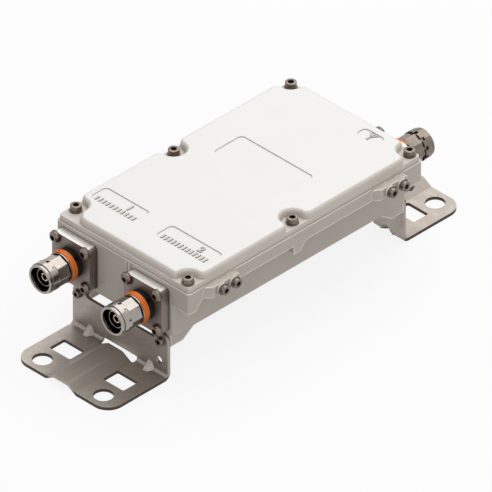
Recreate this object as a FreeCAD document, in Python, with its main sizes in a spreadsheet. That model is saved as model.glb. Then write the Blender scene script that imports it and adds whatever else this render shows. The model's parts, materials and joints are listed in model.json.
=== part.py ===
import FreeCAD, Part
import os
import re
import Sketcher
from math import cos, pi, sin

# A cavity diplexer in a cast housing: two ports on the front end, the antenna port on the rear
# end, a cast lid, and a sheet steel foot bracket at each end.
# The frame: millimetres, origin midway between the four foot holes on the mounting plane,
# +X from the two ports towards the antenna port, +Y away from the ground screws, +Z up.

Vector = FreeCAD.Vector
doc = FreeCAD.newDocument("diplexer")

driving = [
    # housing
    ("housing_length", 198),
    ("housing_width", 112),
    ("band_corner", 1.5),
    ("tub_corner", 2.5),
    ("lid_seat", 69),
    ("band_height", 8.8),
    ("near_ledge", 13.2),
    ("far_ledge", 2),
    ("tub_bottom", 31),
    ("tub_edge", 1.8),
    ("end_wall", 8),
    ("near_wall", 3.5),
    ("far_wall", 12),
    ("floor_thickness", 3.5),
    ("cavity_corner", 9),
    ("divider_place", 1),
    ("divider_thickness", 4),
    ("junction_length", 16),
    ("lobe_depth", 5.9),
    ("lobe_slope", 4.4),
    ("lobe_round", 1.5),
    ("front_lobe_length", 6.6),
    ("middle_lobe_start", -10.2),
    ("middle_lobe_length", 5.9),
    ("rear_lobe_length", 11.8),
    ("leg_bottom", 23.5),
    ("leg_width", 12.5),
    ("leg_margin", 5.6),
    ("leg_flat", 10.3),
    ("leg_slope", 11.1),
    ("seam_margin", 0.1),
    ("seam_pitch", 3.25),
    ("seam_width", 0.9),
    ("seam_depth", 0.8),
    ("seam_bottom", 56),
    ("seam_height", 11.5),
    # lid and its seal
    ("lid_margin", 1),
    ("rim_corner", 1.5),
    ("raised_corner", 3.5),
    ("rim_height", 3.8),
    ("plateau_height", 8.6),
    ("plateau_ledge", 1.1),
    ("plateau_round", 2.6),
    ("lid_wall", 2.4),
    ("lid_hollow_margin", 17),
    ("notch_radius", 7.5),
    ("mark_depth", 0.7),
    ("mark_corner", 3.2),
    ("port_1_field_inset", 21.8),
    ("port_2_field_inset", 21.5),
    ("port_field_reach", 36.1),
    ("port_1_field_side", 5.8),
    ("port_1_field_width", 38.2),
    ("port_2_field_side", 6.2),
    ("port_2_field_width", 44.1),
    ("antenna_field_inset", 8.2),
    ("antenna_field_length", 8.8),
    ("antenna_field_near", 9.9),
    ("antenna_field_far", 7.7),
    ("centre_field_start", 7.7),
    ("centre_field_length", 25),
    ("centre_field_near", 30.7),
    ("centre_field_far", 31),
    ("gasket_width", 2),
    ("gasket_depth", 1.6),
    ("gasket_gap", 0.1),
    ("groove_edge", 1.2),
    # lid screws
    ("lid_screw_end_inset", 5.1),
    ("lid_screw_side_inset", 5.7),
    ("middle_screw_x", -5.8),
    ("far_front_screw_inset", 10.6),
    ("lid_thread_depth", 8),
    # screws and washers
    ("shank_radius", 2),
    ("lid_head_radius", 3.6),
    ("lid_head_height", 4.2),
    ("skirt_radius", 4.1),
    ("skirt_height", 0.7),
    ("bracket_shank_radius", 1.5),
    ("bracket_head_radius", 3),
    ("bracket_head_height", 3),
    ("ground_head_radius", 3.4),
    ("ground_head_height", 2.4),
    ("pan_radius", 3.9),
    ("pan_height", 3.1),
    ("pan_rim", 1.1),
    ("socket_radius", 1.6),
    ("socket_depth", 1.8),
    ("washer_radius", 4.1),
    ("washer_thickness", 0.8),
    ("thread_gap", 0.05),
    ("hole_gap", 0.25),
    # ports
    ("axis_height", 50),
    ("port_1_inset", 16.7),
    ("port_2_inset", 19.1),
    ("antenna_inset", 19.1),
    ("antenna_pad_height", 1.6),
    ("flange_size", 32),
    ("flange_thickness", 6.6),
    ("flange_corner", 3.5),
    ("flange_pitch", 25.4),
    ("flange_thread_depth", 5.8),
    ("neck_radius", 8.2),
    ("collar_radius", 10.1),
    ("collar_length", 4.3),
    ("collar_round", 0.5),
    ("seal_radius", 10.5),
    ("seal_length", 3.6),
    ("seal_round", 0.7),
    ("shoulder_radius", 9.9),
    ("shoulder_length", 0.8),
    ("sleeve_gap", 0.8),
    ("sleeve_radius", 9.5),
    ("sleeve_flat", 8.9),
    ("sleeve_length", 8.4),
    ("sleeve_groove", 0.3),
    ("ring_radius", 10),
    ("ring_length", 3.2),
    ("slot_length", 2.4),
    ("slot_width", 2.2),
    ("lip_radius", 9.4),
    ("lip_length", 2.1),
    ("jack_length", 32.5),
    ("mouth_radius", 8),
    ("mouth_depth", 15),
    ("tube_radius", 5.75),
    ("tube_recess", 3),
    ("tube_bore", 5.2),
    ("bead_radius", 4.5),
    ("bead_front", 14),
    ("contact_radius", 2.75),
    ("contact_recess", 3.8),
    ("contact_bore", 1.9),
    ("contact_bore_depth", 9),
    ("stem_radius", 1.5),
    ("stem_tail", 3),
    ("fit_gap", 0.05),
    # foot brackets
    ("sheet_thickness", 2.2),
    ("bend_inner", 2.5),
    ("bracket_width", 80.6),
    ("bracket_height", 25.6),
    ("foot_reach", 50.1),
    ("foot_corner", 11),
    ("bracket_screw_z", 26.5),
    ("bracket_thread_depth", 7.5),
    ("ear_radius", 5.3),
    ("ear_fillet", 3),
    ("foot_hole_reach", 39.8),
    ("foot_hole_y", 26),
    ("foot_hole_radius", 6.3),
    ("window_reach", 16),
    ("window_length", 12.5),
    ("window_inner", 14.1),
    ("window_width", 17.3),
    ("window_corner", 1.2),
    ("ridge_top", 6),
    ("ridge_base", 12.9),
    ("ridge_height", 4),
    ("ridge_round", 3.2),
    ("ridge_inner_round", 1),
    ("ridge_fillet", 1.2),
    ("slot_half_width", 14.7),
    ("slot_top", 4.4),
    ("slot_reach", 4),
    ("slot_corner", 1.5),
    ("gusset_y", 25.4),
    ("gusset_leg", 5),
    ("gusset_base", 4.6),
    ("gusset_crest", 1.6),
    ("gusset_wall", 1.5),
    ("pilot_inset", 7.4),
    ("pilot_z", 11.4),
    ("pilot_radius", 2.6),
    # ground bosses on the near side
    ("front_ground_inset", 28.1),
    ("rear_ground_inset", 27.3),
    ("ground_length", 23),
    ("ground_slope", 4.5),
    ("ground_bottom", 60.6),
    ("ground_height", 8),
    ("ground_depth", 4.1),
    ("ground_corner", 2),
    ("ground_round", 0.6),
    ("pad_radius", 3.9),
    ("pad_height", 1.8),
    ("pad_washer_thickness", 0.7),
    ("ground_pitch", 10.2),
    ("ground_screw_z", 65.2),
    ("ground_thread_depth", 8),
    # tuning plate and its screws
    ("seat_depth", 7),
    ("ledge_width", 1.6),
    ("plate_thickness", 2.5),
    ("plate_gap", 0.3),
    ("plate_corner", 3.5),
    ("plate_screw_inset", 3),
    ("plate_screw_radius", 1.2),
    ("plate_screw_depth", 5),
    ("plate_head_radius", 2.3),
    ("plate_head_height", 1.8),
    ("plate_screw_front_inset", 23),
    ("plate_screw_rear_inset", 43),
    ("tuning_radius", 2.5),
    ("tuning_length", 12),
    ("tuning_stand", 6),
    ("nut_flats", 8),
    ("nut_height", 3.2),
    # resonators and conductors
    ("high_front_inset", 31),
    ("high_rear_inset", 47),
    ("high_radius", 5),
    ("high_height", 21),
    ("high_bore", 3.3),
    ("low_front_inset", 37),
    ("low_rear_inset", 50),
    ("low_place", 20.5),
    ("low_radius", 6),
    ("low_height", 20),
    ("low_cap_radius", 10),
    ("low_cap_thickness", 2.4),
    ("low_bore", 4.2),
    ("resonator_bore_depth", 14),
    ("strip_width", 3),
    ("strip_thickness", 1.2),
    ("strip_gap", 0.2),
    ("junction_inset", 25),
    ("tap_turn_inset", 17),
]

HIGH_RESONATORS = 5
LOW_RESONATORS = 4
DIVIDER_SCREWS = 4
SLEEVE_FLATS = 8
RING_SLOTS = 10
FULL_TURN = 2 * pi

worked_out = [
    ("half_length", "housing_length / 2"),
    ("half_width", "housing_width / 2"),
    ("tub_near", "half_width - near_ledge"),
    ("tub_far", "half_width - far_ledge"),
    ("port_1_y", "tub_far - port_1_inset"),
    ("port_2_y", "port_2_inset - tub_near"),
    ("antenna_y", "antenna_inset - tub_near"),
    ("seam_place", "port_2_y + flange_size / 2 + seam_margin"),
    ("bracket_screw_y", "bracket_width / 2 - ear_radius"),
    ("leg_outer", "bracket_screw_y + leg_margin"),
    ("leg_inner", "leg_outer - leg_width"),
    ("front_ground_x", "front_ground_inset - half_length"),
    ("rear_ground_x", "half_length - rear_ground_inset"),
    ("lid_length", "housing_length - 2 * lid_margin"),
    ("lid_width", "housing_width - 2 * lid_margin"),
    ("lid_screw_x", "half_length - lid_screw_end_inset"),
    ("lid_screw_y", "half_width - lid_screw_side_inset"),
    ("far_front_screw_x", "far_front_screw_inset - half_length"),
    ("band_bottom", "lid_seat - band_height"),
    ("lobe_bottom", "band_bottom - lobe_depth"),
    ("front_lobe_end", "front_lobe_length - half_length"),
    ("middle_lobe_end", "middle_lobe_start + middle_lobe_length"),
    ("cavity_end", "half_length - end_wall"),
    ("cavity_near", "near_wall - tub_near"),
    ("cavity_far", "tub_far - far_wall"),
    ("cavity_floor", "tub_bottom + floor_thickness"),
    ("divider_near", "divider_place - divider_thickness / 2"),
    ("divider_far", "divider_place + divider_thickness / 2"),
    ("seat_end", "cavity_end + ledge_width"),
    ("seat_near", "cavity_near - ledge_width"),
    ("seat_far", "cavity_far + ledge_width"),
    ("plate_seat", "lid_seat - seat_depth"),
    ("plate_top", "plate_seat + plate_thickness"),
    ("rim_top", "lid_seat + rim_height"),
    ("lid_top", "lid_seat + plateau_height"),
    ("plateau_end", "lid_length / 2 - plateau_ledge"),
    ("thread_radius", "shank_radius + thread_gap"),
    ("hole_radius", "shank_radius + hole_gap"),
    ("bracket_thread_radius", "bracket_shank_radius + thread_gap"),
    ("bracket_hole_radius", "bracket_shank_radius + hole_gap"),
    ("bolt_offset", "flange_pitch / 2"),
    ("collar_front", "flange_thickness + collar_length"),
    ("seal_front", "collar_front + seal_length"),
    ("shoulder_front", "seal_front + shoulder_length"),
    ("sleeve_back", "shoulder_front + sleeve_gap"),
    ("ring_front", "jack_length - lip_length"),
    ("ring_back", "ring_front - ring_length"),
    ("mouth_floor", "jack_length - mouth_depth"),
    ("contact_front", "jack_length - contact_recess"),
    ("bend_outer", "bend_inner + sheet_thickness"),
    ("plate_outer", "half_length + sheet_thickness"),
    ("foot_end", "plate_outer + foot_reach"),
    ("foot_hole_x", "plate_outer + foot_hole_reach"),
    ("window_start", "plate_outer + window_reach"),
    ("pilot_y", "bracket_width / 2 - pilot_inset"),
    ("slot_end", "plate_outer + slot_reach"),
    ("ear_drop", "bracket_screw_z - bracket_height - ear_fillet"),
    ("ear_fillet_y", "bracket_screw_y - sqrt((ear_radius + ear_fillet) ^ 2 - ear_drop ^ 2)"),
    ("gusset_depth", "gusset_leg / sqrt(2)"),
    ("gusset_taper", "(gusset_base - gusset_crest) / gusset_depth"),
    ("ridge_crest", "sheet_thickness + ridge_height"),
    ("ground_face", "-half_width - ground_depth"),
    ("pad_face", "ground_face - pad_height"),
    ("tuning_top", "plate_top + tuning_stand"),
    ("high_top", "cavity_floor + high_height"),
    ("low_top", "cavity_floor + low_height"),
    ("strip_bottom", "axis_height - strip_thickness / 2"),
    ("strip_top", "axis_height + strip_thickness / 2"),
    ("antenna_face", "half_length + antenna_pad_height"),
    ("antenna_wall", "end_wall + antenna_pad_height"),
    ("high_start", "high_front_inset - half_length"),
    ("high_pitch", f"(half_length - high_rear_inset - high_start) / {HIGH_RESONATORS - 1}"),
    ("low_start", "low_front_inset - half_length"),
    ("low_pitch", f"(half_length - low_rear_inset - low_start) / {LOW_RESONATORS - 1}"),
    ("plate_screw_start", "plate_screw_front_inset - half_length"),
    ("plate_screw_end", "half_length - plate_screw_rear_inset"),
    ("plate_screw_pitch", f"(plate_screw_end - plate_screw_start) / {DIVIDER_SCREWS - 1}"),
    ("junction_place", "half_length - junction_inset"),
    ("tap_turn", "tap_turn_inset - half_length"),
]

sheet = doc.addObject("Spreadsheet::Sheet", "sizes")
cells = [(alias, str(number)) for alias, number in driving]
cells += [(alias, "=" + formula) for alias, formula in worked_out]
for row, (alias, content) in enumerate(cells, start=1):
    sheet.set(f"A{row}", alias)
    sheet.set(f"B{row}", content)
    sheet.setAlias(f"B{row}", alias)
aliases = {alias for alias, content in cells}
doc.recompute()

PLANES = {
    "xy": (FreeCAD.Rotation(), Vector(0, 0, 1), "z"),
    "yz": (FreeCAD.Rotation(Vector(1, 1, 1), 120), Vector(1, 0, 0), "x"),
    "xz": (FreeCAD.Rotation(Vector(1, 0, 0), 90), Vector(0, 1, 0), "y"),
}
UP = Vector(0, 0, 1)
DIRECTIONS = {
    "x": Vector(1, 0, 0), "-x": Vector(-1, 0, 0),
    "y": Vector(0, 1, 0), "-y": Vector(0, -1, 0),
    "z": UP, "-z": Vector(0, 0, -1),
}


# Small tools that every sub-part uses

def bound(text):
    """Turn a text in the sheet's plain words into an expression on the sheet."""
    def full(word):
        return "sizes." + word.group(0) if word.group(0) in aliases else word.group(0)
    return re.sub(r"[a-z][a-z_0-9]*", full, str(text))


def put(item, place):
    for axis, text in zip("xyz", place):
        item.setExpression("Placement.Base." + axis, bound(text))
    return item


def block(name, first, second):
    """A box between two opposite corners, given in any order."""
    item = doc.addObject("Part::Box", name)
    for size, start, end in zip(("Length", "Width", "Height"), first, second):
        item.setExpression(size, bound(f"abs(({end}) - ({start}))"))
    return put(item, [f"min({start}; {end})" for start, end in zip(first, second)])


def rod(name, start, direction, length, radius):
    """A round bar from its start along one of the main directions."""
    item = doc.addObject("Part::Cylinder", name)
    item.Placement = FreeCAD.Placement(Vector(), FreeCAD.Rotation(UP, DIRECTIONS[direction]))
    item.setExpression("Height", bound(length))
    item.setExpression("Radius", bound(radius))
    return put(item, start)


def extruded(name, sketch, plane, start, length):
    rotation, direction, axis = PLANES[plane]
    sketch.Placement = FreeCAD.Placement(Vector(), rotation)
    sketch.setExpression("Placement.Base." + axis, bound(start))
    item = doc.addObject("Part::Extrusion", name)
    item.Base = sketch
    item.DirMode = "Custom"
    item.Dir = direction
    item.Solid = True
    item.setExpression("LengthFwd", bound(length))
    return item


def slab(name, plane, across, up, radius, start, length):
    """A rounded rectangle drawn on a plane and extruded."""
    sketch = doc.addObject("Sketcher::SketchObject", name + "_outline")
    reach, corner = 20, 3
    inner = reach - corner
    sides = [((-inner, -reach), (inner, -reach)), ((reach, -inner), (reach, inner)),
             ((inner, reach), (-inner, reach)), ((-reach, inner), (-reach, -inner))]
    centres = [(inner, -inner), (inner, inner), (-inner, inner), (-inner, -inner)]
    for index, (side, centre) in enumerate(zip(sides, centres)):
        sketch.addGeometry(Part.LineSegment(Vector(*side[0]), Vector(*side[1])), False)
        circle = Part.Circle(Vector(*centre), UP, corner)
        turn = (index - 1) * pi / 2
        sketch.addGeometry(Part.ArcOfCircle(circle, turn, turn + pi / 2), False)
    for index in range(8):
        sketch.addConstraint(Sketcher.Constraint("Tangent", index, 2, (index + 1) % 8, 1))
    for index, kind in ((0, "Horizontal"), (4, "Horizontal"), (2, "Vertical"), (6, "Vertical")):
        sketch.addConstraint(Sketcher.Constraint(kind, index))
    for index in (3, 5, 7):
        sketch.addConstraint(Sketcher.Constraint("Equal", 1, index))
    number = sketch.addConstraint(Sketcher.Constraint("Radius", 1, corner))
    sketch.setExpression(f"Constraints[{number}]", bound(radius))
    edges = (("DistanceX", 6, across[0], -reach), ("DistanceX", 2, across[1], reach),
             ("DistanceY", 0, up[0], -reach), ("DistanceY", 4, up[1], reach))
    for kind, side, text, drawn in edges:
        number = sketch.addConstraint(Sketcher.Constraint(kind, -1, 1, side, 1, drawn))
        sketch.setExpression(f"Constraints[{number}]", bound(text))
    return extruded(name, sketch, plane, start, length)


def prism(name, plane, corners, start, length):
    """A polygon drawn on a plane and extruded."""
    sketch = doc.addObject("Sketcher::SketchObject", name + "_outline")
    count = len(corners)
    turns = [FULL_TURN * index / count for index in range(count)]
    drawn = [Vector(10 * cos(turn), 10 * sin(turn)) for turn in turns]
    for index in range(count):
        line = Part.LineSegment(drawn[index], drawn[(index + 1) % count])
        sketch.addGeometry(line, False)
    for index in range(count):
        following = (index + 1) % count
        sketch.addConstraint(Sketcher.Constraint("Coincident", index, 2, following, 1))
    for index, corner in enumerate(corners):
        for kind, text, value in zip(("DistanceX", "DistanceY"), corner, drawn[index]):
            number = sketch.addConstraint(Sketcher.Constraint(kind, -1, 1, index, 1, value))
            sketch.setExpression(f"Constraints[{number}]", bound(text))
    return extruded(name, sketch, plane, start, length)


def joined(name, items):
    item = doc.addObject("Part::MultiFuse", name)
    item.Shapes = items
    item.Refine = True
    return item


def shared(name, first, second):
    item = doc.addObject("Part::Common", name)
    item.Base = first
    item.Tool = second
    return item


def cut(name, base, tools):
    item = doc.addObject("Part::Cut", name)
    item.Base = base
    item.Tool = tools[0] if len(tools) == 1 else joined(name + "_tools", tools)
    item.Refine = True
    return item


def group(name, items):
    item = doc.addObject("Part::Compound", name)
    item.Links = items
    return item


def rounded(name, base, radius, wanted):
    """Round the edges of a finished shape that the test picks."""
    doc.recompute()
    size = sheet.get(radius)
    picked = [index for index, edge in enumerate(base.Shape.Edges, start=1) if wanted(edge)]
    if not picked:
        raise ValueError(f"{name}: no edge to round")
    item = doc.addObject("Part::Fillet", name)
    item.Base = base
    item.Edges = [(index, size, size) for index in picked]
    return item


def turned(item, origin, direction, place):
    """Set a piece made at the origin on its place, with its own axis in a new direction."""
    if {origin, direction} == {"x", "-x"}:
        rotation = FreeCAD.Rotation(UP, 180)
    else:
        rotation = FreeCAD.Rotation(DIRECTIONS[origin], DIRECTIONS[direction])
    item.Placement = FreeCAD.Placement(Vector(), rotation)
    return put(item, place)


def level(axis, *words):
    """A test for edges that lie whole at one of the named places along an axis."""
    places = [sheet.get(word) for word in words]
    low, high = axis.upper() + "Min", axis.upper() + "Max"

    def wanted(edge):
        box = edge.BoundBox
        ends = getattr(box, low), getattr(box, high)
        return any(max(abs(end - place) for end in ends) < 1e-4 for place in places)
    return wanted


def along(axis, test):
    """The same test for edges that also run along an axis."""
    size = axis.upper() + "Length"

    def wanted(edge):
        return test(edge) and getattr(edge.BoundBox, size) > edge.Length * 0.99
    return wanted


parts = []


def keep(item, name):
    item.Label = name
    parts.append(item)


LID_SCREWS = [
    ("-lid_screw_x", "-lid_screw_y", -1, -1),
    ("middle_screw_x", "-lid_screw_y", 0, -1),
    ("lid_screw_x", "-lid_screw_y", 1, -1),
    ("far_front_screw_x", "lid_screw_y", -1, 1),
    ("middle_screw_x", "lid_screw_y", 0, 1),
    ("lid_screw_x", "lid_screw_y", 1, 1),
]
# each port's direction, the face that its flange sits on, its place across and its wall
PORTS = {
    "port_1": ("-x", "-half_length", "port_1_y", "end_wall"),
    "port_2": ("-x", "-half_length", "port_2_y", "end_wall"),
    "antenna_port": ("x", "antenna_face", "antenna_y", "antenna_wall"),
}
GROUND_SCREWS = [f"{middle} + {side} * ground_pitch / 2"
                 for middle in ("front_ground_x", "rear_ground_x") for side in (-1, 1)]
INWARD = {"x": "-x", "-x": "x"}
PAIRS = [(first, second) for first in (-1, 1) for second in (-1, 1)]
HIGH_PLACES = [f"high_start + {index} * high_pitch" for index in range(HIGH_RESONATORS)]
LOW_PLACES = [f"low_start + {index} * low_pitch" for index in range(LOW_RESONATORS)]
PLATE_SCREWS = [(f"{end} * (seat_end - plate_screw_inset)", y) for end in (-1, 1)
                for y in ("seat_near + plate_screw_inset", "seat_far - plate_screw_inset")]
PLATE_SCREWS += [(f"plate_screw_start + {index} * plate_screw_pitch", "divider_place")
                 for index in range(DIVIDER_SCREWS)]


# Housing: a tub under a wide flange band, on four short legs

def lobe(name, start, end, slope):
    """A deeper stretch of the band under a lid screw, with a sloped rear side."""
    root = "band_bottom + tub_edge"
    corners = [(start, "lobe_bottom"), (end, "lobe_bottom"), (f"{end} + {slope}", "band_bottom"),
               (f"{end} + {slope}", root), (start, root)]
    return prism(name, "xz", corners, "-half_width", "half_width - tub_near + near_wall / 2")


def lobe_edges():
    """A test for the two edges at the foot and the head of each lobe's slope."""
    feet = [sheet.get("front_lobe_end"), sheet.get("middle_lobe_end")]
    bends = [Vector(x, 0, sheet.get("lobe_bottom")) for x in feet]
    bends += [Vector(x + sheet.get("lobe_slope"), 0, sheet.get("band_bottom")) for x in feet]

    def wanted(edge):
        middle = edge.BoundBox.Center
        middle.y = 0
        return any((middle - bend).Length < 1e-4 for bend in bends)
    return wanted


def ground_boss(name, middle):
    """A boss with a sloped end towards -X, and a round pad for each of its screws."""
    start, end = f"{middle} - ground_length / 2", f"{middle} + ground_length / 2"
    root = "near_wall / 2 - half_width"
    plan = prism(name + "_plan", "xy",
                 [(f"{start} - ground_slope", "-half_width"), (start, "ground_face"),
                  (end, "ground_face"), (end, root), (f"{start} - ground_slope", root)],
                 "ground_bottom", "ground_height")
    face = slab(name + "_face", "xz", (f"{start} - ground_slope", end),
                ("ground_bottom", "ground_bottom + ground_height"), "ground_corner",
                "ground_face", "ground_depth + near_wall / 2")
    return rounded(name, shared(name + "_block", plan, face), "ground_round",
                   level("y", "ground_face"))


def leg(name, end, side):
    face = f"{end} * half_length"
    slope_end = f"{face} - {end} * (leg_flat + leg_slope)"
    root = "tub_bottom + tub_edge"
    corners = [(face, "leg_bottom"), (f"{face} - {end} * leg_flat", "leg_bottom"),
               (slope_end, "tub_bottom"), (slope_end, root), (face, root)]
    start = "leg_inner" if side > 0 else "-leg_outer"
    return prism(name, "xz", corners, start, "leg_outer - leg_inner")


def seal_ring(name, inner, outer):
    """A flat ring round the opening, between two distances from the plate's recess."""
    rings = []
    for label, reach in (("inner", inner), ("outer", outer)):
        rings.append(slab(f"{name}_{label}", "xy",
                          (f"-seat_end - ({reach})", f"seat_end + {reach}"),
                          (f"seat_near - ({reach})", f"seat_far + {reach}"),
                          f"plate_corner + {reach}", "lid_seat - gasket_depth", "gasket_depth"))
    return cut(name, rings[1], [rings[0]])


def housing_body():
    ends = ("-half_length", "half_length")
    sides = ("-half_width", "half_width")
    tub = slab("tub", "xy", ends, ("-tub_near", "tub_far"), "tub_corner",
               "tub_bottom", "lid_seat - tub_bottom")
    doc.recompute()
    tub = rounded("soft_tub", tub, "tub_edge", level("z", "tub_bottom"))
    band = slab("band", "xy", ends, sides, "band_corner", "band_bottom", "band_height")
    skirt = slab("skirt", "xy", ends, sides, "band_corner", "lobe_bottom",
                 "lobe_depth + tub_edge")
    lobes = joined("lobes", [
        lobe("front_lobe", "-half_length", "front_lobe_end", "lobe_slope"),
        lobe("middle_lobe", "middle_lobe_start", "middle_lobe_end", "lobe_slope"),
        lobe("rear_lobe", "half_length - rear_lobe_length", "half_length", "tub_edge"),
    ])
    flanged = joined("flanged_tub", [tub, band, shared("trimmed_lobes", skirt, lobes)])
    solids = [rounded("soft_flanged_tub", flanged, "lobe_round", lobe_edges())]
    for end, side in PAIRS:
        solids.append(leg(f"leg_{end + 1}_{side + 1}", end, side))
    for middle in ("front_ground_x", "rear_ground_x"):
        solids.append(ground_boss(middle + "_boss", middle))
    for index, x in enumerate(GROUND_SCREWS):
        solids.append(rod(f"pad_{index}", (x, "-half_width", "ground_screw_z"), "-y",
                          "ground_depth + pad_height", "pad_radius"))
    half = "flange_size / 2"
    solids.append(slab("antenna_pad", "yz", (f"antenna_y - {half}", f"antenna_y + {half}"),
                       (f"axis_height - {half}", f"axis_height + {half}"), "flange_corner",
                       "half_length - end_wall / 2", "antenna_pad_height + end_wall / 2"))
    return joined("solid_housing", solids)


def make_housing():
    inside = ("-cavity_end", "cavity_end")
    depth = "plate_seat - cavity_floor"
    tools = [
        slab("high_band_cavity", "xy", inside, ("cavity_near", "divider_near"),
             "cavity_corner", "cavity_floor", depth),
        slab("low_band_cavity", "xy", inside, ("divider_far", "cavity_far"),
             "cavity_corner", "cavity_floor", depth),
        block("junction",
              ("cavity_end - cavity_corner - junction_length", "divider_near - cavity_corner",
               "cavity_floor"),
              ("cavity_end - cavity_corner", "divider_far + cavity_corner", "plate_seat")),
        slab("plate_recess", "xy", ("-seat_end", "seat_end"), ("seat_near", "seat_far"),
             "plate_corner", "plate_seat", "seat_depth"),
        seal_ring("gasket_groove", "groove_edge",
                  "groove_edge + gasket_width + 2 * gasket_gap"),
    ]
    for index, (x, y, end, side) in enumerate(LID_SCREWS):
        tools.append(rod(f"lid_thread_{index}", (x, y, "lid_seat"), "-z",
                         "lid_thread_depth + fit_gap", "thread_radius"))
    for index, (x, y) in enumerate(PLATE_SCREWS):
        tools.append(rod(f"plate_thread_{index}", (x, y, "plate_seat"), "-z",
                         "plate_screw_depth + fit_gap", "plate_screw_radius + thread_gap"))
    for name, (direction, face, y, wall) in PORTS.items():
        tools.append(rod(name + "_bore", (face, y, "axis_height"), INWARD[direction],
                         f"{wall} + cavity_corner", "bead_radius + fit_gap"))
        for index, (side, rise) in enumerate(PAIRS):
            place = (face, f"{y} + {side} * bolt_offset", f"axis_height + {rise} * bolt_offset")
            tools.append(rod(f"{name}_thread_{index}", place, INWARD[direction],
                             "flange_thread_depth + fit_gap", "thread_radius"))
    for index, x in enumerate(GROUND_SCREWS):
        tools.append(rod(f"ground_thread_{index}", (x, "pad_face", "ground_screw_z"), "y",
                         "ground_thread_depth + fit_gap", "thread_radius"))
    for index, (end, side) in enumerate(PAIRS):
        place = (f"{end} * half_length", f"{side} * bracket_screw_y", "bracket_screw_z")
        tools.append(rod(f"bracket_thread_{index}", place, "-x" if end > 0 else "x",
                         "bracket_thread_depth + fit_gap", "bracket_thread_radius"))
    for index in range(2):
        seam = f"seam_place + {index} * seam_pitch"
        tools.append(block(f"seam_{index}", ("-half_length", seam, "seam_bottom"),
                           ("seam_depth - half_length", f"{seam} + seam_width",
                            "seam_bottom + seam_height")))
    keep(cut("finished_housing", housing_body(), tools), "housing")
    gasket = seal_ring("seal", "groove_edge + gasket_gap", "groove_edge + gasket_gap + gasket_width")
    keep(gasket, "lid_gasket")


# Lid: a cast cover with a raised middle that draws back around each screw

def flank(name, screw, mouth, flare_centre, flare_radius):
    """One flank of a notch, which runs out into the edge on an arc."""
    plain = block(name + "_side", (*screw, "rim_top"), (*mouth, "lid_top + rim_height"))
    flare = rod(name + "_flare", (*flare_centre, "rim_top"), "z", "plateau_height", flare_radius)
    return cut(name, plain, [flare])


def notch(name, x, y, end, side):
    """The bell-shaped bay around a lid screw, open to one edge or to a corner."""
    solids = [rod(name + "_bay", (x, y, "rim_top"), "z", "plateau_height", "notch_radius")]
    past_y = f"{side} * (lid_width / 2 + plateau_ledge)"
    past_x = f"{end} * (plateau_end + plateau_ledge)"
    y_gap = f"(lid_width / 2 - {side} * ({y}))"
    x_gap = f"(plateau_end - {end} * ({x}))"
    for turn in (-1, 1):
        if turn == end:
            continue
        centre = f"{x} + {turn} * (notch_radius + {y_gap})"
        solids.append(flank(f"{name}_flank_{turn + 1}", (x, y), (centre, past_y),
                            (centre, y), y_gap))
    if end:
        centre = f"{y} - {side} * (notch_radius + {x_gap})"
        solids.append(flank(name + "_end_flank", (x, y), (past_x, centre), (x, centre), x_gap))
        solids.append(block(name + "_corner", (x, y, "rim_top"),
                            (past_x, past_y, "lid_top + rim_height")))
    return joined(name, solids)


MARK_FIELDS = {
    "port_1_field": (("port_1_field_inset - half_length", "port_field_reach - half_length"),
                     ("half_width - port_1_field_side - port_1_field_width",
                      "half_width - port_1_field_side")),
    "port_2_field": (("port_2_field_inset - half_length", "port_field_reach - half_length"),
                     ("port_2_field_side - half_width",
                      "port_2_field_side + port_2_field_width - half_width")),
    "antenna_field": (("half_length - antenna_field_inset - antenna_field_length",
                       "half_length - antenna_field_inset"),
                      ("antenna_y - antenna_field_near", "antenna_y + antenna_field_far")),
    "centre_field": (("centre_field_start", "centre_field_start + centre_field_length"),
                     ("-centre_field_near", "centre_field_far")),
}


def make_lid():
    sides = ("-lid_width / 2", "lid_width / 2")
    rim = slab("rim", "xy", ("-lid_length / 2", "lid_length / 2"), sides, "rim_corner",
               "lid_seat", "rim_height")
    middle = slab("middle", "xy", ("-plateau_end", "plateau_end"), sides, "raised_corner",
                  "lid_seat", "plateau_height")
    notches = [notch(f"notch_{index}", *screw) for index, screw in enumerate(LID_SCREWS)]
    raised = cut("raised", middle, notches)
    raised = rounded("soft_raised", raised, "plateau_round", level("z", "lid_top"))
    tools = [slab("lid_hollow", "xy",
                  ("lid_hollow_margin - plateau_end", "plateau_end - lid_hollow_margin"),
                  ("lid_hollow_margin - lid_width / 2", "lid_width / 2 - lid_hollow_margin"),
                  "plate_corner", "lid_seat", "plateau_height - lid_wall")]
    for name, (across, up) in MARK_FIELDS.items():
        tools.append(slab(name, "xy", across, up, "mark_corner", "lid_top - mark_depth",
                          "mark_depth"))
    for index, (x, y, end, side) in enumerate(LID_SCREWS):
        tools.append(rod(f"lid_hole_{index}", (x, y, "lid_seat"), "z", "rim_height",
                         "hole_radius"))
    keep(cut("finished_lid", joined("solid_lid", [rim, raised]), tools), "lid")


# Screws: a cap head or a domed head on a round shank, made along +Z from under the head

def cap_screw(name, head_radius, head_height, shank_radius, shank_length, more=()):
    solid = joined(name + "_solid", [
        rod(name + "_head", (0, 0, 0), "z", head_height, head_radius),
        rod(name + "_shank", (0, 0, 0), "-z", shank_length, shank_radius),
        *more,
    ])
    socket = rod(name + "_socket", (0, 0, f"{head_height} - socket_depth"), "z", "socket_depth",
                 "socket_radius")
    return cut(name, solid, [socket])


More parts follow.
